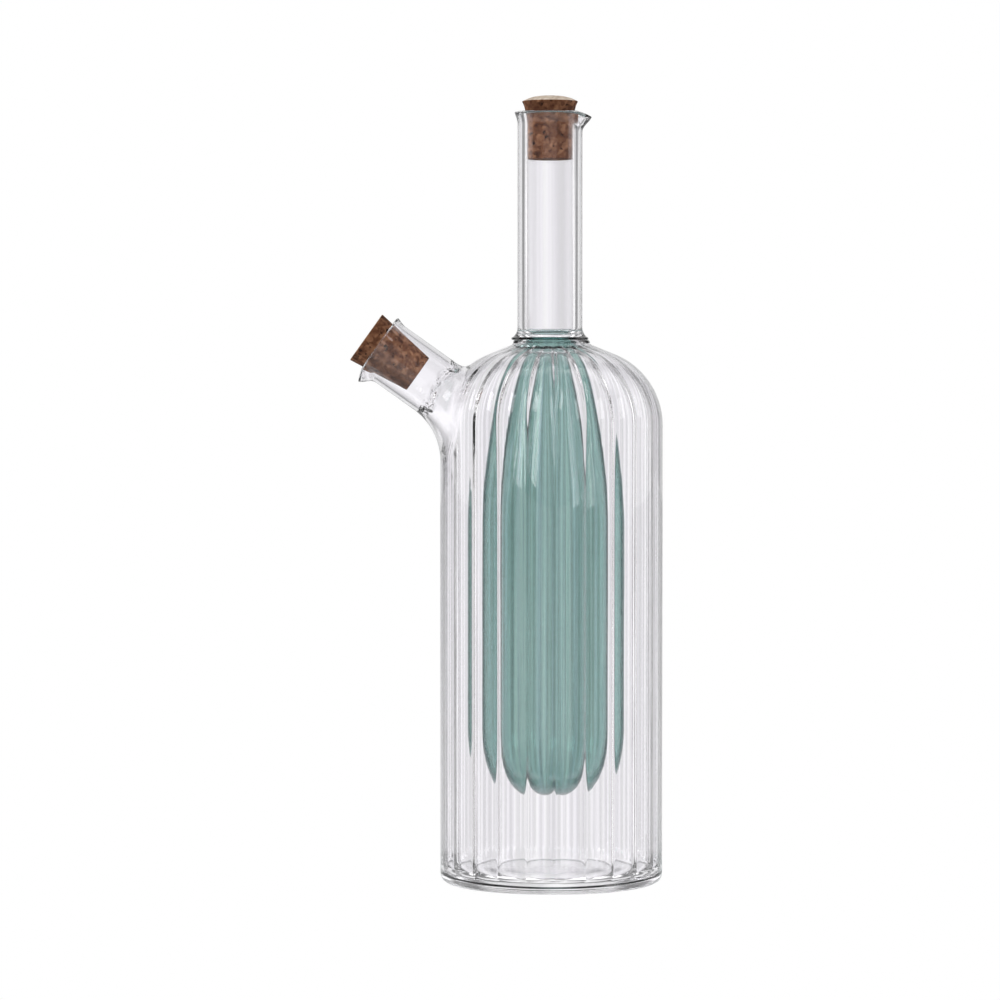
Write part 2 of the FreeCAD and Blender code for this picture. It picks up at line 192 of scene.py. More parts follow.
def bezier(poles, steps):
    t = np.linspace(0, 1, steps)[:, None]
    a, b, c, d = [np.array(p, float) for p in poles]
    return a * (1 - t) ** 3 + 3 * b * t * (1 - t) ** 2 + 3 * c * t ** 2 * (1 - t) + d * t ** 3


def revolve_rings(profile, angles):
    """A ring of points for each (radius, height) of a half profile."""
    flat = np.stack([np.cos(angles), np.sin(angles), 0 * angles], 1)
    return [flat * r + (0, 0, z) for r, z in profile]


def smooth(t):
    t = np.clip(t, 0, 1)
    return t * t * (3 - 2 * t)


# %% [markdown]
# ## The ribs
# The body's wall is smooth outside. Inside, it has channels that bow outwards like the staves of a
# barrel, and where two channels meet they leave a rounded rib. A small bead runs along each rib's crest.
# It is there for the looks, because it bends the light into a thin dark line. One pitch is worked out as
# a table of rib height against angle and is then read at any angle round the bottle.

# %% Rib height round the bottle
PITCH = 2 * math.pi / RIBS
CAVITY_R = BODY_R - WALL


def rib_table(steps=600):
    """Rib height over one pitch, from crest to crest: circular channels with the crest rounded off."""
    u = np.linspace(-PITCH / 2, PITCH / 2, steps, endpoint=False)
    low = CAVITY_R - RIB_HEIGHT
    a, b = low * math.cos(PITCH / 2), low * math.sin(PITCH / 2)
    centre = (CAVITY_R ** 2 - a * a - b * b) / (2 * (CAVITY_R - a))
    channel = CAVITY_R - centre
    radius = centre * np.cos(u) + np.sqrt(np.maximum(channel ** 2 - (centre * np.sin(u)) ** 2, 0))
    from_crest = (PITCH / 2 - np.abs(u)) * CAVITY_R
    height = CAVITY_R - radius + RIB_BEAD * np.exp(-0.5 * (from_crest / RIB_BEAD_HALF) ** 2)
    sigma = RIB_CREST / CAVITY_R / PITCH * steps
    k = np.arange(-int(4 * sigma) - 1, int(4 * sigma) + 2)
    bell = np.exp(-0.5 * (k / sigma) ** 2)
    padded = np.concatenate([height[-len(k):], height, height[:len(k)]])
    rounded = np.convolve(padded, bell / bell.sum(), "same")[len(k):-len(k)]
    return u, rounded


rib_u, rib_h = rib_table()


def rib_height(angle):
    """Rib height at an angle round the bottle. The middle of a channel lies on +X and on -X."""
    u = angle % PITCH - PITCH / 2
    from_channel = np.where(u > 0, u - PITCH / 2, u + PITCH / 2)
    return np.interp(from_channel, rib_u, rib_h, period=PITCH)


print("rib crest", round(float(rib_height(PITCH / 2)), 3), "channel", round(float(rib_height(0.0)), 3))

# %% [markdown]
# ## The body's two half profiles
# One runs up the outside from the middle of the base to the ring, the other up the inside. Each is kept
# as a dense line with its running length, so that any point of the surface can be named by an angle and a
# length.

# %% Profiles of the body
class Skin:
    """A surface of revolution named by angle and running length, with ribs pressed inwards if asked for."""

    def __init__(self, profile, rib_share=None):
        steps = np.hypot(*np.diff(profile, axis=0).T)
        keep = np.concatenate([[True], steps > 1e-9])
        self.r, self.z = profile[keep].T
        self.w = np.concatenate([[0], np.cumsum(np.hypot(np.diff(self.r), np.diff(self.z)))])
        slope_r, slope_z = np.gradient(self.r, self.w), np.gradient(self.z, self.w)
        size = np.hypot(slope_r, slope_z)
        self.nr, self.nz = slope_z / size, -slope_r / size
        self.rib_share = rib_share

    def at(self, angle, w, fade=1.0):
        r, z = np.interp(w, self.w, self.r), np.interp(w, self.w, self.z)
        if self.rib_share is not None:
            lift = rib_height(angle) * np.interp(w, *self.rib_share) * fade
            r = r - np.interp(w, self.w, self.nr) * lift
            z = z - np.interp(w, self.w, self.nz) * lift
        return np.stack([r * np.cos(angle), r * np.sin(angle), z + 0 * angle], -1)

    def length_at_height(self, z):
        """Running length at a height on the wall or the shoulder."""
        wall = self.z > 9
        return np.interp(z, self.z[wall], self.w[wall])

    def length_near(self, r, z):
        return float(self.w[np.argmin(np.hypot(self.r - r, self.z - z))])


cone_start = np.array([BEND_CENTRE + BEND_R * math.sin(CONE), BEND_Z + BEND_R * math.cos(CONE)])
outside_profile = curve_points(
    line((0.0, 0.0), (BODY_R - FOOT_R, 0.0), 60),
    bow((BODY_R - FOOT_R, FOOT_R), FOOT_R, -90, 0, 40),
    line((BODY_R, FOOT_R), (BODY_R, BEND_Z), 200),
    bow((BEND_CENTRE, BEND_Z), BEND_R, 0, 68, 200),
    line(cone_start, (RING_R + 0.35, RING_Z - COLLAR - 0.14), 60),
    bezier([(RING_R + 0.35, RING_Z - COLLAR - 0.14), (RING_R, RING_Z - COLLAR), (RING_R - 0.05, RING_Z - 0.7),
            (RING_R - 0.1, RING_Z - 0.3)], 8),
    bow((RING_R - 0.4, RING_Z - 0.3), 0.3, 0, 90, 5),
)
inner_bend = BEND_R - WALL
last_bend = bow((BEND_CENTRE, BEND_Z), inner_bend, 0, 79, 200)
corner_top = BASE + FLOOR_CORNER
mouth_foot = (MOUTH_R, RING_Z - 2.3)
inside_profile = curve_points(
    bezier([(0.0, FLOOR_MIDDLE), (9.0, FLOOR_MIDDLE), (16.0, BASE), (CAVITY_R - FLOOR_CORNER, BASE)], 80),
    bow((CAVITY_R - FLOOR_CORNER, corner_top), FLOOR_CORNER, -90, 0, 40),
    line((CAVITY_R, corner_top), (CAVITY_R, BEND_Z), 200),
    last_bend,
    bezier([last_bend[-1], last_bend[-1] + (-3.2, 0.6), (MOUTH_R + 0.5, RING_Z - MOUTH_DEPTH),
            mouth_foot], 60),
    line(mouth_foot, (MOUTH_R, RING_Z), 8),
)
outer = Skin(outside_profile)
inner = Skin(inside_profile)
# How much of the ribs' height is left, at running lengths from the floor's corner to the mouth.
fades = [
    (inner.length_near(CAVITY_R - FLOOR_CORNER, BASE), 0.0),
    (inner.length_near(CAVITY_R, corner_top), 1.0),
    (inner.length_near(*last_bend[100]), 1.0),
    (inner.length_near(*last_bend[150]), 0.85),
    (inner.length_near(*last_bend[199]), 0.45),
    (float(inner.w[-1]) - 3.0, 0.0),
]
inner.rib_share = (np.array([f[0] for f in fades]), np.array([f[1] for f in fades]))
print("outside length", round(float(outer.w[-1]), 1), "inside length", round(float(inner.w[-1]), 1), "mm")

# %% [markdown]
# ## A mouth with a pouring lip
# Both mouths are made alike: the tube spreads over its last few millimetres, one side is pulled out into
# a beak that droops, and the rim is melted round in the flame. The same rings, laid along the neck or
# along the spout, make either of them.

# %% Rings of a mouth
def mouth_rings(turn, radius, bore, length):
    """Radius and height of each ring, up the outside of the lip, over the rim and down the inside."""
    off = np.abs((turn + math.pi) % (2 * math.pi) - math.pi) / BEAK_HALF
    beak = np.where(off < 1, 0.5 + 0.5 * np.cos(math.pi * np.minimum(off, 1)), 0.0) ** 1.2
    spread = lambda t: smooth(t) * 0.75 + 0.25 * t ** 3
    droop = BEAK_DROOP * beak
    lip = LIP_HEIGHT * (0.6 + 0.4 * beak)
    rings = []
    for t in np.linspace(0, 0.93, 12):
        height = length - lip * (1 - t)
        rings.append((radius + (LIP_FLARE + BEAK_REACH * beak) * spread(t), height - droop * smooth(t)))
    rim_out = radius + (LIP_FLARE + BEAK_REACH * beak) * spread(0.95)
    rim_in = bore + (BORE_FLARE + BEAK_REACH * beak) * spread(0.95)
    middle, half = (rim_out + rim_in) / 2, (rim_out - rim_in) / 2
    for angle in np.linspace(0, math.pi, 13)[1:-1]:
        rings.append((middle + half * math.cos(angle), length - 0.6 + 0.6 * math.sin(angle) - droop))
    for t in np.linspace(0.93, 0, 12):
        height = length - lip * (1 - t)
        rings.append((bore + (BORE_FLARE + BEAK_REACH * beak) * spread(t), height - droop * smooth(t)))
    return rings


# %% [markdown]
# ## Joining the spout to the body
# The wall is opened in a window round the spout. Spokes run from the window's edge over the wall to where
# the joint starts to curve, round the curve, and on up the tube. The joint is a wide sweep underneath and
# a tight one on top, as the glassblower leaves it. The same code makes the outer skin and the inner one.

# %% Spout frame and joint
along = np.array([-math.cos(SPOUT_ANGLE), 0.0, math.sin(SPOUT_ANGLE)])
under = np.array([-math.sin(SPOUT_ANGLE), 0.0, -math.cos(SPOUT_ANGLE)])
across = np.cross(along, under)


def spout_point(radius, turn, height):
    """A point at a radius and a turn round the spout's axis, and a height along it from the spout's root."""
    radius, turn, height = np.broadcast_arrays(radius, turn, height)
    outwards = np.cos(turn)[..., None] * under + np.sin(turn)[..., None] * across
    return SPOUT_ROOT + radius[..., None] * outwards + height[..., None] * along


def wall_height(radius, turn, inset):
    """Height along the spout's axis at which a line parallel to it meets the body's surface."""
    low, high = np.full(np.shape(radius + turn), -26.0), np.full(np.shape(radius + turn), 30.0)
    for _ in range(44):
        middle = (low + high) / 2
        p = spout_point(radius, turn, middle)
        r, z = np.hypot(p[..., 0], p[..., 1]), p[..., 2]
        from_bend = np.hypot(r - BEND_CENTRE, z - BEND_Z) - (BEND_R - inset)
        gap = np.where(z < BEND_Z, r - (BODY_R - inset), from_bend)
        low, high = np.where(gap > 0, low, middle), np.where(gap > 0, middle, high)
    return (low + high) / 2


def joint_rings(turn, tube, inset, below, above, steps=14):
    """Rings from the wall to the tube. The radius of the sweep runs from below to above round the joint."""
    sweep = above + (below - above) * (0.5 + 0.5 * np.cos(turn)) ** 1.4
    step = 0.4
    corner = wall_height(tube + 0 * turn, turn, inset)
    slope = np.arctan((corner - wall_height(tube + step + 0 * turn, turn, inset)) / step)
    bend = math.pi / 2 - slope
    reach = sweep * np.tan(bend / 2)
    start_radius = tube + reach * np.cos(slope)
    start_height = wall_height(start_radius, turn, inset)
    start_slope = np.arctan((wall_height(start_radius - 0.2, turn, inset) - start_height) / 0.2)
    meet = start_height + np.tan(start_slope) * (start_radius - tube)
    reach = (start_radius - tube) / np.cos(start_slope)
    end_height = meet + reach
    bend = math.pi / 2 - start_slope
    handle = reach * (1 - 4 / 3 * np.tan(bend / 4) / np.tan(bend / 2))
    poles_r = [start_radius, tube + handle * np.cos(start_slope), tube + 0 * turn, tube + 0 * turn]
    poles_h = [start_height, meet - handle * np.sin(start_slope), meet + handle, end_height]
    rings = []
    for t in np.linspace(0, 1, steps):
        b = [(1 - t) ** 3, 3 * t * (1 - t) ** 2, 3 * t * t * (1 - t), t ** 3]
        rings.append((sum(k * p for k, p in zip(b, poles_r)), sum(k * p for k, p in zip(b, poles_h))))
    return rings


# %% [markdown]
# ## The body
# Columns are packed closely at each rib's crest and are wide in the channels. Rows are close together
# only where the wall bends. The window is two and a half ribs either side of the spout.

# %% Build the clear body
crest_steps = np.array([0, 0.15, 0.35, 0.6, 0.95, 1.5, 2.3, 3.4]) / CAVITY_R
half_pitch = np.concatenate([crest_steps, [PITCH / 2], PITCH - crest_steps[:0:-1]])
columns = np.concatenate([(i + 0.5) * PITCH + half_pitch for i in range(RIBS)])
PER_RIB = len(half_pitch)
spout_column = (RIBS // 2 - 1) * PER_RIB + PER_RIB // 2
first_column, last_column = spout_column - PER_RIB * 5 // 2, spout_column + PER_RIB * 5 // 2
FOOT_TOP, WINDOW_LOW, WINDOW_TOP = 10.0, 124.0, 167.6


def row_lengths(skin, low_z, high_z):
    """Running lengths of the rows, and which rows bound the window."""
    ends = [0, *(skin.length_at_height(z) for z in (FOOT_TOP, low_z, high_z)), skin.w[-1]]
    counts = (33, 13, 43, 13)
    rows = np.concatenate([np.linspace(a, b, n + 1)[1:] for a, b, n in zip(ends, ends[1:], counts)])
    return rows, sum(counts[:2]) - 1, sum(counts[:3]) - 1


def body_skin(skin, tube, inset, below, above, high_z):
    """Points and faces of one skin with its window, and the spokes' turns and last ring for the tube."""
    rows, low_row, high_row = row_lengths(skin, WINDOW_LOW, high_z)
    angle_grid, length_grid = np.meshgrid(columns, rows)
    points = [skin.at(angle_grid, length_grid).reshape(-1, 3)]
    count = len(columns)
    faces = []
    for i in range(len(rows) - 1):
        for j in range(count):
            if low_row <= i < high_row and first_column <= j < last_column:
                continue
            k = (j + 1) % count
            faces.append((i * count + j, i * count + k, (i + 1) * count + k, (i + 1) * count + j))
    edge = ([(low_row, j) for j in range(first_column, last_column)]
            + [(i, last_column) for i in range(low_row, high_row)]
            + [(high_row, j) for j in range(last_column, first_column, -1)]
            + [(i, first_column) for i in range(high_row, low_row, -1)])
    edge_index = np.array([i * count + j for i, j in edge])
    edge_angle = np.array([columns[j] for i, j in edge])
    edge_length = np.array([rows[i] for i, j in edge])
    offset = skin.at(edge_angle, edge_length) - SPOUT_ROOT
    turn = np.arctan2(offset @ across, offset @ under)
    sweep = joint_rings(turn, tube, inset, below, above)
    start = spout_point(sweep[0][0], turn, sweep[0][1])
    start_angle = np.arctan2(start[:, 1], start[:, 0]) % (2 * math.pi)
    start_length = skin.length_at_height(start[:, 2])
    rings = []
    for t in np.linspace(0, 1, 25)[1:]:
        fade = smooth((1 - t) / 0.35)
        angle = edge_angle * (1 - t) + start_angle * t
        length = edge_length * (1 - t) + start_length * t
        rings.append(skin.at(angle, length, fade))
    rings += [spout_point(r, turn, h) for r, h in sweep[1:]]
    base = len(points[0])
    previous = edge_index
    spokes = len(edge)
    for n, ring in enumerate(rings):
        points.append(ring)
        here = base + n * spokes + np.arange(spokes)
        for i in range(spokes):
            j = (i + 1) % spokes
            faces.append((previous[i], previous[j], here[j], here[i]))
        previous = here
    pole = base + len(rings) * spokes
    points.append(np.array([[0.0, 0.0, skin.z[0]]]))
    faces += [(pole, j, (j + 1) % count) for j in range(count)]
    top = (len(rows) - 1) * count + np.arange(count)
    return np.concatenate(points), faces, turn, previous, top


out_points, out_faces, turn, out_last, out_top = body_skin(
    outer, SPOUT_R, 0.0, SWEEP_BELOW, SWEEP_ABOVE, WINDOW_TOP)
in_points, in_faces, in_turn, in_last, in_top = body_skin(
    inner, SPOUT_BORE, WALL, SWEEP_BELOW - WALL, SWEEP_ABOVE, WINDOW_TOP - 2.0)
turn_step = (np.diff(np.unwrap(turn)) > 0).mean()
print("spokes", len(turn), "share that turn one way", turn_step)


def body_mesh():
    """Joins the outer and the inner skin at the ring and, by way of the lip, at the spout's rim."""
    points = [out_points, in_points]
    shift = len(out_points)
    faces = list(out_faces) + [tuple(i + shift for i in f) for f in in_faces]
    count = len(out_top)
    for j in range(count):
        k = (j + 1) % count
        faces.append((out_top[j], out_top[k], in_top[k] + shift, in_top[j] + shift))
    lip = mouth_rings(turn, SPOUT_R, SPOUT_BORE, SPOUT_LENGTH)
    blend = np.linspace(0, 1, len(lip))
    base = shift + len(in_points)
    previous = out_last
    for n, ((radius, height), share) in enumerate(zip(lip, blend)):
        way = (in_turn - turn + math.pi) % (2 * math.pi) - math.pi
        points.append(spout_point(radius, turn + way * share, height))
        here = base + n * len(turn) + np.arange(len(turn))
        faces += [(previous[i], previous[(i + 1) % len(turn)], here[(i + 1) % len(turn)], here[i])
                  for i in range(len(turn))]
        previous = here
    inner_last = in_last + shift
    faces += [(previous[i], previous[(i + 1) % len(turn)], inner_last[(i + 1) % len(turn)], inner_last[i])
              for i in range(len(turn))]
    return np.concatenate(points), faces


body_glass = make_piece("body_glass", *body_mesh())

# %% [markdown]
# ## The inner vessel, its ring and the neck
# The vessel is a round-bottomed flask that narrows into a neck. Its ring is the collar of teal glass
# between body and neck. The clear neck stands on it with a spread foot. Vessel, neck and neck cork sit
# half a millimetre off the axis, which the ribbed wall magnifies.

# %% Build the vessel and the neck
round_columns = np.linspace(0, 2 * math.pi, 192, endpoint=False)


def vessel_side(radius, neck_radius, steps=50):
    top = RING_Z - MOUTH_DEPTH
    height = top - VESSEL_BEND_Z
    return bezier([(radius, VESSEL_BEND_Z), (radius, VESSEL_BEND_Z + height * 0.38),
                   (neck_radius, top - height * 0.26), (neck_radius, top)], steps)


inner_r = VESSEL_R - VESSEL_WALL
floor_z = VESSEL_FLOOR + VESSEL_WALL * 1.2
ring_low, ring_high = RING_Z + RING_SEAM, RING_TOP - RING_SEAM
under_ring, bore_edge = 0.6, 0.9
vessel_profile = curve_points(
    bow((0, VESSEL_FLOOR + VESSEL_R), VESSEL_R, -90, 0, 40)[1:],
    line((VESSEL_R, VESSEL_FLOOR + VESSEL_R), (VESSEL_R, VESSEL_BEND_Z), 12),
    vessel_side(VESSEL_R, VESSEL_NECK_R),
    line((VESSEL_NECK_R, RING_Z - MOUTH_DEPTH), (VESSEL_NECK_R, RING_Z - under_ring), 4),
    bow((VESSEL_NECK_R + under_ring, RING_Z - under_ring), under_ring, 180, 90, 6),
    line((VESSEL_NECK_R + under_ring, ring_low), (RING_R - RING_EDGE, ring_low), 4),
    bow((RING_R - RING_EDGE, ring_low + RING_EDGE), RING_EDGE, -90, 0, 8),
    line((RING_R, ring_low + RING_EDGE), (RING_R, ring_high - RING_EDGE), 3),
    bow((RING_R - RING_EDGE, ring_high - RING_EDGE), RING_EDGE, 0, 90, 8),
    line((RING_R - RING_EDGE, ring_high), (VESSEL_BORE + bore_edge, ring_high), 4),
    bow((VESSEL_BORE + bore_edge, ring_high - bore_edge), bore_edge, 90, 180, 8),
    line((VESSEL_BORE, ring_high - bore_edge), (VESSEL_BORE, RING_Z - MOUTH_DEPTH), 5),
    vessel_side(inner_r, VESSEL_BORE)[::-1],
    line((inner_r, VESSEL_BEND_Z), (inner_r, floor_z + inner_r), 12),
    bow((0, floor_z + inner_r), inner_r, 0, -90, 40)[:-1],
)


def hang(points, faces):
    """Moves what hangs from the ring, or stands on it, a hair off the axis of the body."""
    return points + np.array(HANG), faces


vessel_skin = stitch(revolve_rings(vessel_profile, round_columns),
                     first_point=(0, 0, VESSEL_FLOOR), last_point=(0, 0, floor_z))
vessel_glass = make_piece("vessel_glass", *hang(*vessel_skin))

FOOT_Z = RING_TOP + RING_SEAM
foot_top = (NECK_R, FOOT_Z + NECK_FOOT_HEIGHT)
foot_edge = (NECK_R + NECK_FOOT_FLARE, FOOT_Z)
foot = bezier([foot_edge, (NECK_R + 0.9, FOOT_Z + 0.4), (NECK_R, FOOT_Z + 1.6), foot_top], 12)
neck_rings = revolve_rings(foot, round_columns)
neck_rings += revolve_rings(line(foot_top, (NECK_R, NECK_TOP - LIP_HEIGHT), 6)[1:-1], round_columns)
for radius, height in mouth_rings(round_columns, NECK_R, NECK_BORE, NECK_TOP):
    neck_rings.append(np.stack([radius * np.cos(round_columns), radius * np.sin(round_columns), height], 1))
bore_end = (NECK_BORE, FOOT_Z + 2.2)
bore_foot = bezier([bore_end, (NECK_BORE, FOOT_Z + 0.9), (NECK_BORE - 0.1, FOOT_Z + 0.2),
                    (NECK_BORE - 0.4, FOOT_Z)], 8)
neck_rings += revolve_rings(line((NECK_BORE, NECK_TOP - LIP_HEIGHT), bore_end, 6)[1:-1], round_columns)
neck_rings += revolve_rings(bore_foot, round_columns)
neck_glass = make_piece("neck_glass", *hang(*stitch(neck_rings, close=True)))

# %% [markdown]
# ## The corks
# Each is a tapered plug. The one in the neck is squeezed where the glass grips it and swells above the
# rim, and its top is slightly domed. The edge is broken and the sides are slightly uneven, as cut cork
# is.

# %% Build the corks
def cork_piece(name, side, seed, place, dome=0.0):
    """A plug from its side profile, gently uneven, its end domed, laid with place(radius, angle, height)."""
    top_r, top_z = side[-1]
    low_r, low_z = side[0]
    edge_z = top_z - dome
    dome_r = np.linspace(top_r - CORK_EDGE, 0.6, 14)
    profile = curve_points(
        line((0.6, low_z), (low_r - CORK_EDGE, low_z), 8),
        bow((low_r - CORK_EDGE, low_z + CORK_EDGE), CORK_EDGE, -90, 0, 5),
        bezier([(low_r, low_z + CORK_EDGE)] + list(side[1:3]) + [(top_r, edge_z - CORK_EDGE)], 60),
        bow((top_r - CORK_EDGE, edge_z - CORK_EDGE), CORK_EDGE, 0, 90, 5),
        np.stack([dome_r, edge_z + dome * (1 - (dome_r / dome_r[0]) ** 3)], 1),
    )
    angles = np.linspace(0, 2 * math.pi, 180, endpoint=False)
    noise = np.random.default_rng(seed)
    waves = [(noise.integers(2, 26), noise.uniform(0, 6.28), noise.uniform(-1.4, 1.4)) for _ in range(24)]
    rings = []
    for radius, height in profile:
        uneven = sum(np.sin(n * angles + p + k * height) / n ** 0.7 for n, p, k in waves) * 0.010
        edge = smooth(radius / low_r) * (0.4 + 0.6 * smooth((height - edge_z + 1.2) / 1.0))
        lift = -np.abs(uneven) * edge if height < edge_z - 1e-3 else 0 * uneven
        drop = np.abs(uneven) * 1.6 if height > edge_z - 0.02 else 0 * uneven
        rings.append(place(radius + lift, angles, height - drop))
    tips = [place(np.zeros(1), np.zeros(1), z)[0] for z in (low_z, top_z)]
    return make_piece(name, *stitch(rings, first_point=tips[0], last_point=tips[1]), sharp_degrees=70)


def upright(radius, angle, height):
    return np.stack([radius * np.cos(angle), radius * np.sin(angle), height + 0 * angle], 1) + np.array(HANG)


CORK_TOP = neck_cork_high[2] + 0.4
neck_cork_side = [(7.14, CORK_TOP - CORK_LENGTH), (7.35, CORK_TOP - 11), (7.05, CORK_TOP - 4.6),
                  (CORK_TOP_R, CORK_TOP)]
neck_cork_piece = cork_piece("neck_cork_piece", neck_cork_side, 5, upright, dome=NECK_CORK_DOME)
cork_face = SPOUT_LENGTH + SPOUT_CORK_PROUD
spout_cork_side = [(6.2, cork_face - CORK_LENGTH), (7.0, cork_face - 13.3), (7.9, cork_face - 6.6),
                   (CORK_TOP_R, cork_face)]
spout_cork_piece = cork_piece("spout_cork_piece", spout_cork_side, 9, spout_point)

# %% [markdown]
# ## Each piece stands for a piece of the construction model
# The glass and the corks replace the plain solids, and all of them ride on the one body.

# %% Tie the pieces to the model
PIECES = {
    "body_glass": ("body", "clear_glass"),
    "vessel_glass": ("inner_vessel", "teal_glass"),
    "neck_glass": ("neck", "clear_glass"),
    "neck_cork_piece": ("neck_cork", "cork"),
    "spout_cork_piece": ("spout_cork", "cork"),
}
for name, (node, finish) in PIECES.items():
    piece = bpy.data.objects[name]
    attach(piece, "root")
    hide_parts(node)
    print(name, "stands for", node)

# %% [markdown]
# ## Glass
# Borosilicate glass bends light a little less than window glass. The clear material lets lamps shine
# through it instead of casting a black shadow. The teal one also absorbs light along its way, which makes
# it darker where the eye looks along the wall, at the ring and at the sides. Both carry faint lines from
# the drawing of the glass and painted shade towards the edges, where a surface is seen edge on, and the
# clear one has a ridge of melted glass round the spout's root.

# %% Glass materials
def new_material(name):
    material = bpy.data.materials.new(name)
    material.use_nodes = True
    nodes, links = material.node_tree.nodes, material.node_tree.links
    nodes.clear()
    return material, nodes, links


def draw_line_group():
    """Long streaks from the drawing of the glass. They run up a piece and close in with its taper."""
    group = bpy.data.node_groups.new("draw_lines", "ShaderNodeTree")
    group.interface.new_socket("Streaks", in_out="INPUT", socket_type="NodeSocketFloat")
    group.interface.new_socket("Lines", in_out="OUTPUT", socket_type="NodeSocketFloat")
    nodes, links = group.nodes, group.links
    sockets_in, sockets_out = nodes.new("NodeGroupInput"), nodes.new("NodeGroupOutput")
    place = nodes.new("ShaderNodeTexCoord")
    flat = nodes.new("ShaderNodeVectorMath")
    flat.operation = "MULTIPLY"
    flat.inputs[1].default_value = (1, 1, 0)
    around = nodes.new("ShaderNodeVectorMath")
    around.operation = "NORMALIZE"
    slow_rise = nodes.new("ShaderNodeVectorMath")
    slow_rise.operation = "MULTIPLY_ADD"
    slow_rise.inputs[1].default_value = (0, 0, 0.35)
    streaks = nodes.new("ShaderNodeTexNoise")
    streaks.inputs["Detail"].default_value = 3.0
    streaks.inputs["Roughness"].default_value = 0.65
    spread = nodes.new("ShaderNodeMapRange")
    spread.inputs["From Min"].default_value = 0.28
    spread.inputs["From Max"].default_value = 0.52
    links.new(place.outputs["Object"], flat.inputs[0])
    links.new(flat.outputs["Vector"], around.inputs[0])
    links.new(place.outputs["Object"], slow_rise.inputs[0])
    links.new(around.outputs["Vector"], slow_rise.inputs[2])
    links.new(slow_rise.outputs["Vector"], streaks.inputs["Vector"])
    links.new(sockets_in.outputs["Streaks"], streaks.inputs["Scale"])
    links.new(streaks.outputs["Fac"], spread.inputs["Value"])
    links.new(spread.outputs["Result"], sockets_out.inputs["Lines"])
    return group


draw_lines = draw_line_group()


def maths(nodes, links, operation, *values):
    """A Math node whose inputs are numbers or sockets; gives its result."""
    node = nodes.new("ShaderNodeMath")
    node.operation = operation
    for socket, value in zip(node.inputs, values):
        if isinstance(value, (int, float)):
            socket.default_value = value
        else:
            links.new(value, socket)
    return node.outputs["Value"]


WELD_HEIGHT, WELD_HALF, WELD_WANDER, WELD_DEPTH = 0.0068, 0.0010, 0.008, 0.0007
WELD_INNER_X = -0.0265


def add_weld(nodes, links, normal):
    """A wavy ridge of melted glass round the spout's root, in metres, over the normal it is given."""
    def step(operation, *values):
        return maths(nodes, links, operation, *values)

    place = nodes.new("ShaderNodeTexCoord")
    from_root = nodes.new("ShaderNodeVectorMath")
    from_root.operation = "SUBTRACT"
    from_root.inputs[1].default_value = tuple(SPOUT_ROOT * MM)
    out_along = nodes.new("ShaderNodeVectorMath")
    out_along.operation = "DOT_PRODUCT"
    out_along.inputs[1].default_value = tuple(along)
    wander = nodes.new("ShaderNodeTexNoise")
    wander.inputs["Scale"].default_value = 130.0
    split = nodes.new("ShaderNodeSeparateXYZ")
    links.new(place.outputs["Object"], from_root.inputs[0])
    links.new(from_root.outputs["Vector"], out_along.inputs[0])
    links.new(place.outputs["Object"], wander.inputs["Vector"])
    links.new(place.outputs["Object"], split.inputs["Vector"])
    shifted = step("MULTIPLY_ADD", wander.outputs["Fac"], WELD_WANDER, out_along.outputs["Value"])
    off = step("DIVIDE", step("SUBTRACT", shifted, WELD_HEIGHT), WELD_HALF)
    ridge = step("EXPONENT", step("MULTIPLY", step("MULTIPLY", off, off), -1.0))
    ridge = step("MULTIPLY", ridge, step("LESS_THAN", split.outputs["X"], WELD_INNER_X))
    bump = nodes.new("ShaderNodeBump")
    bump.inputs["Distance"].default_value = WELD_DEPTH
    links.new(ridge, bump.inputs["Height"])
    links.new(normal, bump.inputs["Normal"])
    return bump.outputs["Normal"]


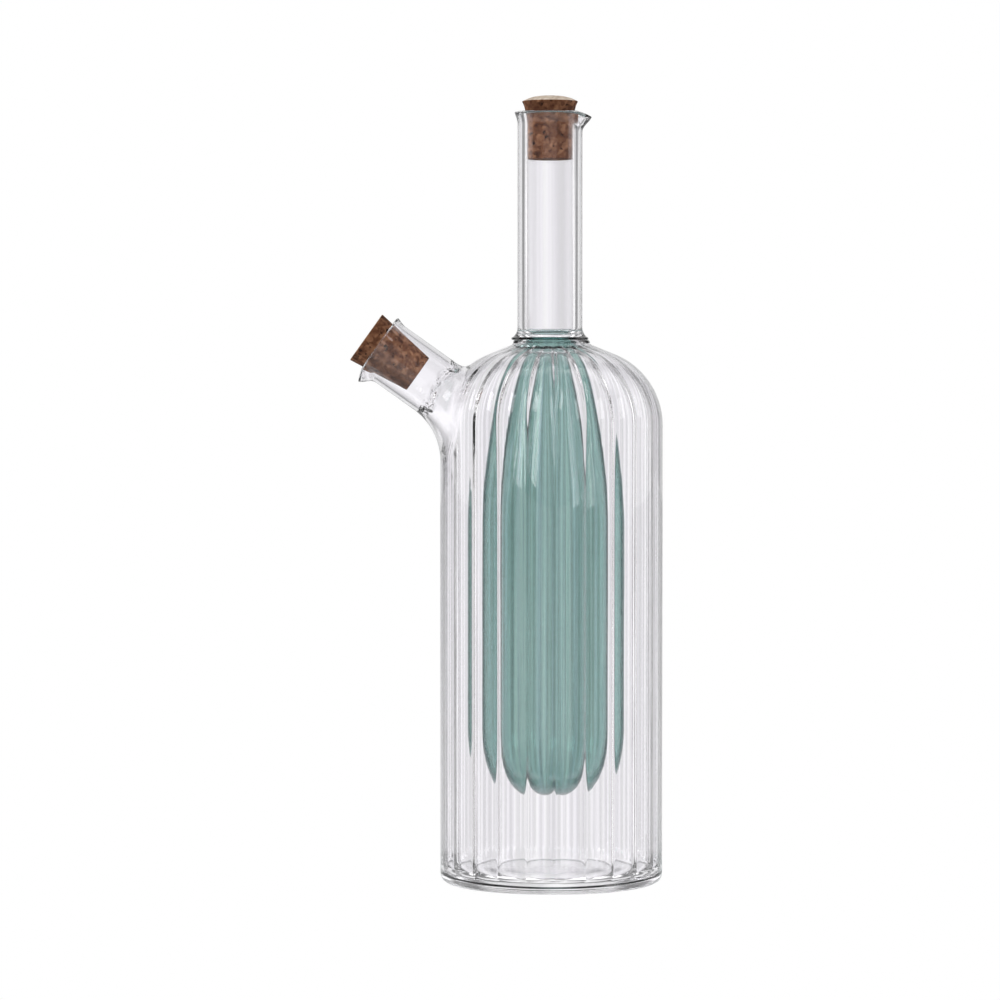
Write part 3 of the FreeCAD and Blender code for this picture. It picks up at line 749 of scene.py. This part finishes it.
def glass(name, thick, hues, rim, streaks, depth, absorb=None, density=0.0, weld=False):
    """Glass whose draw lines ripple and tint it a little, with painted shade of the rim colour where seen
    edge on.
    """
    material, nodes, links = new_material(name)
    output = nodes.new("ShaderNodeOutputMaterial")
    surface = nodes.new("ShaderNodeBsdfPrincipled")
    surface.inputs["Metallic"].default_value = 0.0
    surface.inputs["Roughness"].default_value = 0.0
    surface.inputs["IOR"].default_value = 1.473
    surface.inputs["Transmission Weight"].default_value = 1.0
    lines = nodes.new("ShaderNodeGroup")
    lines.node_tree = draw_lines
    lines.inputs["Streaks"].default_value = streaks
    tint = nodes.new("ShaderNodeMix")
    tint.data_type = "RGBA"
    tint.inputs["A"].default_value = (*thick, 1)
    tint.inputs["B"].default_value = (1, 1, 1, 1)
    bump = nodes.new("ShaderNodeBump")
    bump.inputs["Strength"].default_value = 1.0
    bump.inputs["Distance"].default_value = depth
    links.new(lines.outputs["Lines"], tint.inputs["Factor"])
    bands = nodes.new("ShaderNodeGroup")
    bands.node_tree = draw_lines
    bands.inputs["Streaks"].default_value = 4.5
    hue = nodes.new("ShaderNodeMix")
    hue.data_type = "RGBA"
    hue.inputs["A"].default_value = (*hues[0], 1)
    hue.inputs["B"].default_value = (*hues[1], 1)
    both = nodes.new("ShaderNodeMix")
    both.data_type = "RGBA"
    both.blend_type = "MULTIPLY"
    both.inputs["Factor"].default_value = 1.0
    # Painted shade: the base colour turns to the rim colour where the surface is seen edge on, drawing dark
    # outlines.
    slant = nodes.new("ShaderNodeLayerWeight")
    slant.inputs["Blend"].default_value = 0.5
    edge_shade_mask = nodes.new("ShaderNodeMapRange")
    edge_shade_mask.inputs["From Min"].default_value = 0.62
    edge_shade_mask.inputs["From Max"].default_value = 0.92
    edge_shaded = nodes.new("ShaderNodeMix")
    edge_shaded.data_type = "RGBA"
    edge_shaded.inputs["B"].default_value = (*rim, 1)
    links.new(bands.outputs["Lines"], hue.inputs["Factor"])
    links.new(tint.outputs["Result"], both.inputs["A"])
    links.new(hue.outputs["Result"], both.inputs["B"])
    links.new(slant.outputs["Facing"], edge_shade_mask.inputs["Value"])
    links.new(edge_shade_mask.outputs["Result"], edge_shaded.inputs["Factor"])
    links.new(both.outputs["Result"], edge_shaded.inputs["A"])
    links.new(edge_shaded.outputs["Result"], surface.inputs["Base Color"])
    links.new(lines.outputs["Lines"], bump.inputs["Height"])
    normal = bump.outputs["Normal"]
    links.new(add_weld(nodes, links, normal) if weld else normal, surface.inputs["Normal"])
    clear = nodes.new("ShaderNodeBsdfTransparent")
    clear.inputs["Color"].default_value = (0.94, 0.95, 0.95, 1) if absorb is None else (0.68, 0.83, 0.83, 1)
    ray = nodes.new("ShaderNodeLightPath")
    mix = nodes.new("ShaderNodeMixShader")
    links.new(ray.outputs["Is Shadow Ray"], mix.inputs["Fac"])
    links.new(surface.outputs["BSDF"], mix.inputs[1])
    links.new(clear.outputs["BSDF"], mix.inputs[2])
    links.new(mix.outputs["Shader"], output.inputs["Surface"])
    if absorb is not None:
        volume = nodes.new("ShaderNodeVolumeAbsorption")
        volume.inputs["Color"].default_value = (*absorb, 1)
        volume.inputs["Density"].default_value = density
        links.new(volume.outputs["Volume"], output.inputs["Volume"])
    return material


# The third colour given to each glass is its painted edge shade, used where the glass is seen edge on.
clear_glass = glass("clear_glass", (0.965, 0.965, 0.965), ((1.0, 1.0, 1.0), (0.985, 0.975, 1.0)),
                    (0.62, 0.63, 0.64), 10.0, 0.00001, weld=True)
teal_glass = glass("teal_glass", (0.54, 0.65, 0.645), ((0.96, 0.985, 1.0), (0.95, 1.0, 0.95)),
                   (0.16, 0.22, 0.22), 13.0, 0.00001, absorb=(0.02, 0.38, 0.38), density=370.0)

# %% [markdown]
# ## Cork
# Natural cork is a patchwork of warm brown grains with dark pits and a few pale flecks. The sliced end is
# paler and rougher than the turned side.

# %% Cork materials
def cork(name, deep, middle, pale, pits=0.62):
    """Cork bark: soft grain patches, darker pits and pale flecks, with the pits sunk in."""
    material, nodes, links = new_material(name)
    output = nodes.new("ShaderNodeOutputMaterial")
    surface = nodes.new("ShaderNodeBsdfPrincipled")
    surface.inputs["Roughness"].default_value = 0.85
    surface.inputs["IOR"].default_value = 1.35
    place = nodes.new("ShaderNodeTexCoord")
    patches = nodes.new("ShaderNodeTexNoise")
    patches.inputs["Scale"].default_value = 430.0
    patches.inputs["Detail"].default_value = 6.0
    patches.inputs["Roughness"].default_value = 0.62
    grains = nodes.new("ShaderNodeTexVoronoi")
    grains.inputs["Scale"].default_value = 800.0
    pit_noise = nodes.new("ShaderNodeTexNoise")
    pit_noise.inputs["Scale"].default_value = 620.0
    pit_noise.inputs["Detail"].default_value = 3.0
    ramp = nodes.new("ShaderNodeValToRGB")
    ramp.color_ramp.elements[0].position = 0.22
    ramp.color_ramp.elements[0].color = (*deep, 1)
    ramp.color_ramp.elements[1].position = 0.86
    ramp.color_ramp.elements[1].color = (*pale, 1)
    middle_stop = ramp.color_ramp.elements.new(0.50)
    middle_stop.color = (*middle, 1)
    add = nodes.new("ShaderNodeMath")
    add.operation = "MULTIPLY_ADD"
    add.inputs[1].default_value = 0.30
    pit_mask = nodes.new("ShaderNodeMapRange")
    pit_mask.inputs["From Min"].default_value = pits
    pit_mask.inputs["From Max"].default_value = pits + 0.07
    darken = nodes.new("ShaderNodeMixRGB")
    darken.blend_type = "MIX"
    darken.inputs["Color2"].default_value = (*[c * 0.30 for c in deep], 1)
    bump = nodes.new("ShaderNodeBump")
    bump.inputs["Strength"].default_value = 0.55
    bump.inputs["Distance"].default_value = 0.0003
    height = nodes.new("ShaderNodeMath")
    height.operation = "SUBTRACT"
    for texture in (patches, grains, pit_noise):
        links.new(place.outputs["Object"], texture.inputs["Vector"])
    grain_value = nodes.new("ShaderNodeSeparateColor")
    links.new(grains.outputs["Color"], grain_value.inputs["Color"])
    links.new(grain_value.outputs["Red"], add.inputs[0])
    shifted = nodes.new("ShaderNodeMath")
    shifted.operation = "SUBTRACT"
    shifted.inputs[1].default_value = 0.15
    links.new(patches.outputs["Fac"], shifted.inputs[0])
    links.new(shifted.outputs["Value"], add.inputs[2])
    links.new(add.outputs["Value"], ramp.inputs["Fac"])
    links.new(pit_noise.outputs["Fac"], pit_mask.inputs["Value"])
    links.new(ramp.outputs["Color"], darken.inputs["Color1"])
    links.new(pit_mask.outputs["Result"], darken.inputs["Fac"])
    links.new(darken.outputs["Color"], surface.inputs["Base Color"])
    links.new(patches.outputs["Fac"], height.inputs[0])
    links.new(pit_mask.outputs["Result"], height.inputs[1])
    links.new(height.outputs["Value"], bump.inputs["Height"])
    links.new(bump.outputs["Normal"], surface.inputs["Normal"])
    links.new(surface.outputs["BSDF"], output.inputs["Surface"])
    return material


cork_side = cork("cork_side", (0.044, 0.013, 0.005), (0.162, 0.066, 0.033), (0.39, 0.195, 0.105))
cork_cut = cork("cork_cut", (0.36, 0.24, 0.16), (0.68, 0.56, 0.45), (0.86, 0.78, 0.68), pits=0.70)

body_glass.data.materials.append(clear_glass)
neck_glass.data.materials.append(clear_glass)
vessel_glass.data.materials.append(teal_glass)


def paint_cork(piece, outward):
    """The turned side is bark; the sliced ends are paler."""
    piece.data.materials.append(cork_side)
    piece.data.materials.append(cork_cut)
    axis = Vector(outward)
    for face in piece.data.polygons:
        face.material_index = 1 if face.normal.dot(axis) > 0.75 else 0


paint_cork(neck_cork_piece, (0, 0, 1))
paint_cork(spout_cork_piece, tuple(along))
print("cork faces cut:", sum(f.material_index for f in neck_cork_piece.data.polygons))

# %% [markdown]
# ## Studio
# Clear glass is lit by what stands round it. The camera sees plain white, but the glass bends and
# reflects upright white screens with dark gaps between them. One behind the bottle, brighter in a strip
# down its middle, fills the clear parts, one on each side lights the walls, and the gaps draw the edges.
# A last screen in front and a faint level all round count only for light that has come through glass. No
# real lamp does that. They are there so that the bottle isn't dark from behind, and they lighten its
# front a little too.

# %% Floor, world and lamps
CAMERA_AZIMUTH = -1.9
world = bpy.data.worlds.new("studio")
bpy.context.scene.world = world
world.use_nodes = True
nodes, links = world.node_tree.nodes, world.node_tree.links
nodes.clear()
output = nodes.new("ShaderNodeOutputWorld")
field = nodes.new("ShaderNodeBackground")
field.inputs["Color"].default_value = (1, 1, 1, 1)
screens = nodes.new("ShaderNodeBackground")
direction = nodes.new("ShaderNodeTexCoord")
split = nodes.new("ShaderNodeSeparateXYZ")
bearing = nodes.new("ShaderNodeMath")
bearing.operation = "ARCTAN2"
links.new(direction.outputs["Generated"], split.inputs["Vector"])
links.new(split.outputs["Y"], bearing.inputs[0])
links.new(split.outputs["X"], bearing.inputs[1])


def screen(to_the_left, half_width, soft, level):
    """Light of an upright screen. Its bearing is in degrees to the left of straight behind the bottle."""
    centre = math.radians(90 + CAMERA_AZIMUTH + to_the_left)
    off = maths(nodes, links, "SUBTRACT", bearing.outputs["Value"], centre)
    off = maths(nodes, links, "ABSOLUTE", maths(nodes, links, "WRAP", off, math.pi, -math.pi))
    edge = nodes.new("ShaderNodeMapRange")
    edge.interpolation_type = "SMOOTHSTEP"
    edge.inputs["From Min"].default_value = math.radians(half_width + soft)
    edge.inputs["From Max"].default_value = math.radians(max(half_width - soft, 0.0))
    edge.inputs["To Max"].default_value = level
    links.new(off, edge.inputs["Value"])
    return edge.outputs["Result"]


SCREENS = [(3, 5, 4, 0.2), (-1, 27, 5, 0.6), (-74, 20, 8, 1.3), (74, 20, 8, 1.3)]
FRONT_SCREEN = (180, 29, 7, 0.6)
GAP_LEVEL, GAP_LEVEL_THROUGH_GLASS = 0.12, 0.08
light = screen(*SCREENS[0])
for one in SCREENS[1:]:
    light = maths(nodes, links, "ADD", light, screen(*one))
light = maths(nodes, links, "ADD", light, GAP_LEVEL)
ray = nodes.new("ShaderNodeLightPath")
through_glass = maths(nodes, links, "ADD", screen(*FRONT_SCREEN), GAP_LEVEL_THROUGH_GLASS)
light = maths(nodes, links, "MULTIPLY_ADD", through_glass, ray.outputs["Is Transmission Ray"], light)
links.new(light, screens.inputs["Color"])
choose = nodes.new("ShaderNodeMixShader")
links.new(ray.outputs["Is Camera Ray"], choose.inputs["Fac"])
links.new(screens.outputs["Background"], choose.inputs[1])
links.new(field.outputs["Background"], choose.inputs[2])
links.new(choose.outputs["Shader"], output.inputs["Surface"])

bpy.ops.mesh.primitive_plane_add(size=6.0, location=(0, 0, -0.0004))
floor = bpy.context.object
floor.name = "floor"
floor_material, nodes, links = new_material("floor")
output = nodes.new("ShaderNodeOutputMaterial")
paint = nodes.new("ShaderNodeBsdfPrincipled")
paint.inputs["Base Color"].default_value = (0.9, 0.9, 0.9, 1)
paint.inputs["Roughness"].default_value = 0.9
glow = nodes.new("ShaderNodeEmission")
glow.inputs["Strength"].default_value = 1.0
ray = nodes.new("ShaderNodeLightPath")
choose = nodes.new("ShaderNodeMixShader")
links.new(ray.outputs["Is Camera Ray"], choose.inputs["Fac"])
links.new(paint.outputs["BSDF"], choose.inputs[1])
links.new(glow.outputs["Emission"], choose.inputs[2])
clear = nodes.new("ShaderNodeBsdfTransparent")
through = nodes.new("ShaderNodeMixShader")
links.new(ray.outputs["Is Transmission Ray"], through.inputs["Fac"])
links.new(choose.outputs["Shader"], through.inputs[1])
links.new(clear.outputs["BSDF"], through.inputs[2])
links.new(through.outputs["Shader"], output.inputs["Surface"])
floor.data.materials.append(floor_material)


def soft_lamp(name, place, size, power):
    """A square lamp aimed at the bottle's middle, which neither the camera nor a reflection shows."""
    data = bpy.data.lights.new(name, "AREA")
    data.shape = "SQUARE"
    data.size = size
    data.energy = power
    lamp = bpy.data.objects.new(name, data)
    bpy.context.scene.collection.objects.link(lamp)
    lamp.location = place
    lamp.rotation_euler = (Vector((0, 0, 0.15)) - Vector(place)).to_track_quat("-Z", "Y").to_euler()
    lamp.visible_camera = False
    lamp.visible_glossy = False
    return lamp


soft_lamp("left_key", (-1.1, -0.9, 1.1), 0.8, 12)
soft_lamp("right_fill", (1.2, -0.9, 0.8), 0.8, 7)

# %% [markdown]
# ## Camera
# A long lens, about level with the ring, that looks slightly down. It stands a little to the left, so the
# spout points a hair towards it.

# %% Camera
scene = bpy.context.scene
scene.view_settings.view_transform = "Standard"
scene.cycles.max_bounces = 26
scene.cycles.transmission_bounces = 26
scene.cycles.glossy_bounces = 12
scene.cycles.transparent_max_bounces = 26
scene.cycles.caustics_refractive = True

turned = math.radians(CAMERA_AZIMUTH)
DISTANCE = 1.24
CAMERA_HEIGHT = 0.168
TARGET = Vector((-0.0162, 0, 0.1204))
data = bpy.data.cameras.new("camera")
camera = bpy.data.objects.new("camera", data)
bpy.context.scene.collection.objects.link(camera)
camera.location = (math.sin(turned) * DISTANCE + TARGET.x, -math.cos(turned) * DISTANCE, CAMERA_HEIGHT)
camera.rotation_mode = "QUATERNION"
camera.rotation_quaternion = (TARGET - camera.location).to_track_quat("-Z", "Y")
FIELD_WIDTH = 0.3146
data.sensor_width = 36.0
data.lens = 36.0 * DISTANCE / FIELD_WIDTH
data.clip_start, data.clip_end = 0.05, 50.0
scene.camera = camera
print("lens", round(data.lens), "mm")
